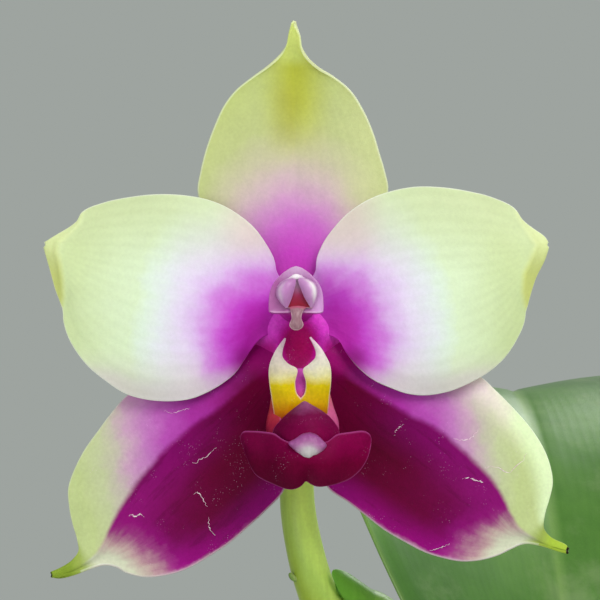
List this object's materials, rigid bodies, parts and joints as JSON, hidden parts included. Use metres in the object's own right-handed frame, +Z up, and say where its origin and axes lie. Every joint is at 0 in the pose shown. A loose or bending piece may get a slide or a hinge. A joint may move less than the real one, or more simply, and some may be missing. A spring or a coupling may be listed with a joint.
{
  "type": "potted phalaenopsis orchid",
  "caption": "Potted moth orchid with broad arching leaves, aerial roots over bark, a short flower spike and an open cream and magenta bloom.",
  "frame": {"origin": "centre of the underside of the pot, where the part rests", "axes": "+Z up; -Y is the way the bloom faces; +X is to the right as seen from the front of the bloom"},
  "size_m": [0.1589, 0.3295, 0.2583],
  "materials": {
    "pot_clay": "matte",
    "bark_chips": "matte",
    "stem_sheath": "satin",
    "leaf_green": "satin",
    "root_silver": "matte",
    "stalk_green": "satin",
    "sepal_cream": "satin",
    "petal_cream": "satin",
    "sepal_magenta": "satin",
    "column_pink": "satin",
    "anther_pink": "satin",
    "lip_magenta": "satin"
  },
  "bodies": {
    "root": {"pot": "pot_clay", "bark_medium": "bark_chips", "stem": "stem_sheath", "leaf_1": "leaf_green", "leaf_2": "leaf_green", "leaf_3": "leaf_green", "leaf_4": "leaf_green", "leaf_5": "leaf_green", "root_1": "root_silver", "root_2": "root_silver", "root_3": "root_silver", "root_4": "root_silver", "root_5": "root_silver", "root_6": "root_silver", "flower_spike": "stalk_green", "pedicel": "stalk_green", "dorsal_sepal": "sepal_cream", "petal_left": "petal_cream", "petal_right": "petal_cream", "lateral_sepal_left": "sepal_magenta", "lateral_sepal_right": "sepal_magenta", "column": "column_pink", "anther_cap": "anther_pink", "lip": "lip_magenta"}
  },
  "joints": []
}
